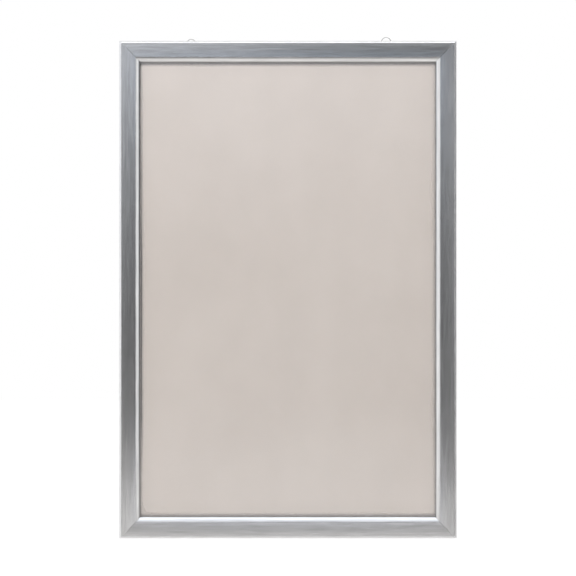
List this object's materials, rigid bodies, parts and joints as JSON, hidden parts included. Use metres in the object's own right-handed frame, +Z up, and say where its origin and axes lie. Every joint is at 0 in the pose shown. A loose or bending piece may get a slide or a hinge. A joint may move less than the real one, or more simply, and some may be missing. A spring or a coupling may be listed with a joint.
{
  "type": "poster frame",
  "caption": "Mitred silver aluminium snap-open poster frame: hinged front rails with sprung lips hold a clear cover sheet on a backing board, with wire rings to hang it.",
  "frame": {"origin": "middle of the bottom base rail's flat back face, which lies on the wall", "axes": "+Y into the wall, so the frame faces -Y; +Z up, along the frame's long side; +X to the right as seen from the front"},
  "size_m": [0.6402, 0.0205, 0.9523],
  "materials": {
    "anodised_aluminium": "brushed, silver anodised",
    "mill_aluminium": "satin, silver anodised",
    "zinc_plated_steel": "zinc plated",
    "spring_steel": "bare, lightly oiled",
    "nickel_wire": "nickel plated",
    "backing_board": "matt",
    "matt_cover_film": "clear, anti-glare matt"
  },
  "bodies": {
    "frame": {"base_rail_top": "mill_aluminium", "base_rail_right": "mill_aluminium", "base_rail_bottom": "mill_aluminium", "base_rail_left": "mill_aluminium", "corner_key_top_left": "zinc_plated_steel", "corner_key_top_right": "zinc_plated_steel", "corner_key_bottom_right": "zinc_plated_steel", "corner_key_bottom_left": "zinc_plated_steel", "grub_screw_top_left_1": "zinc_plated_steel", "grub_screw_top_left_2": "zinc_plated_steel", "grub_screw_top_right_1": "zinc_plated_steel", "grub_screw_top_right_2": "zinc_plated_steel", "grub_screw_bottom_right_1": "zinc_plated_steel", "grub_screw_bottom_right_2": "zinc_plated_steel", "grub_screw_bottom_left_1": "zinc_plated_steel", "grub_screw_bottom_left_2": "zinc_plated_steel", "snap_spring_top_1": "spring_steel", "snap_spring_top_2": "spring_steel", "snap_spring_right_1": "spring_steel", "snap_spring_right_2": "spring_steel", "snap_spring_right_3": "spring_steel", "snap_spring_bottom_1": "spring_steel", "snap_spring_bottom_2": "spring_steel", "snap_spring_left_1": "spring_steel", "snap_spring_left_2": "spring_steel", "snap_spring_left_3": "spring_steel", "backing_board": "backing_board", "cover_sheet": "matt_cover_film", "hanger_rivet_left": "mill_aluminium", "hanger_rivet_right": "mill_aluminium"},
    "front_rail_top": {"front_rail_top": "anodised_aluminium"},
    "front_rail_right": {"front_rail_right": "anodised_aluminium"},
    "front_rail_bottom": {"front_rail_bottom": "anodised_aluminium"},
    "front_rail_left": {"front_rail_left": "anodised_aluminium"},
    "hanger_strap_left": {"hanger_strap_left": "zinc_plated_steel"},
    "hanger_ring_left": {"hanger_ring_left": "nickel_wire"},
    "hanger_strap_right": {"hanger_strap_right": "zinc_plated_steel"},
    "hanger_ring_right": {"hanger_ring_right": "nickel_wire"}
  },
  "joints": [
    {"name": "top_rail_hinge", "type": "hinge", "parent": "frame", "child": "front_rail_top", "pos_m": [0, -0.0084, 0.9205], "axis": [-1, 0, 0], "range_deg": [0, 95], "deforming": ["snap_spring_top_1", "snap_spring_top_2"]},
    {"name": "right_rail_hinge", "type": "hinge", "parent": "frame", "child": "front_rail_right", "pos_m": [0.3155, -0.0084, 0.4526], "axis": [0, 0, 1], "range_deg": [0, 95], "deforming": ["snap_spring_right_1", "snap_spring_right_2", "snap_spring_right_3"]},
    {"name": "bottom_rail_hinge", "type": "hinge", "parent": "frame", "child": "front_rail_bottom", "pos_m": [0, -0.0084, -0.0153], "axis": [1, 0, 0], "range_deg": [0, 95], "deforming": ["snap_spring_bottom_1", "snap_spring_bottom_2"]},
    {"name": "left_rail_hinge", "type": "hinge", "parent": "frame", "child": "front_rail_left", "pos_m": [-0.3155, -0.0084, 0.4526], "axis": [0, 0, -1], "range_deg": [0, 95], "deforming": ["snap_spring_left_1", "snap_spring_left_2", "snap_spring_left_3"]},
    {"name": "left_hanger_swivel", "type": "hinge", "parent": "frame", "child": "hanger_strap_left", "pos_m": [-0.1855, 0.0009, 0.9033], "axis": [0, 1, 0], "range_deg": [-90, 90]},
    {"name": "left_ring_fold", "type": "hinge", "parent": "hanger_strap_left", "child": "hanger_ring_left", "pos_m": [-0.18425, 0.00195, 0.91523], "axis": [-0.9945, 0, 0.1045], "range_deg": [0, 165]},
    {"name": "right_hanger_swivel", "type": "hinge", "parent": "frame", "child": "hanger_strap_right", "pos_m": [0.1855, 0.0009, 0.9067], "axis": [0, 1, 0], "range_deg": [-90, 90]},
    {"name": "right_ring_fold", "type": "hinge", "parent": "hanger_strap_right", "child": "hanger_ring_right", "pos_m": [0.18634, 0.00195, 0.91867], "axis": [-0.9976, 0, 0.0698], "range_deg": [0, 165]}
  ]
}
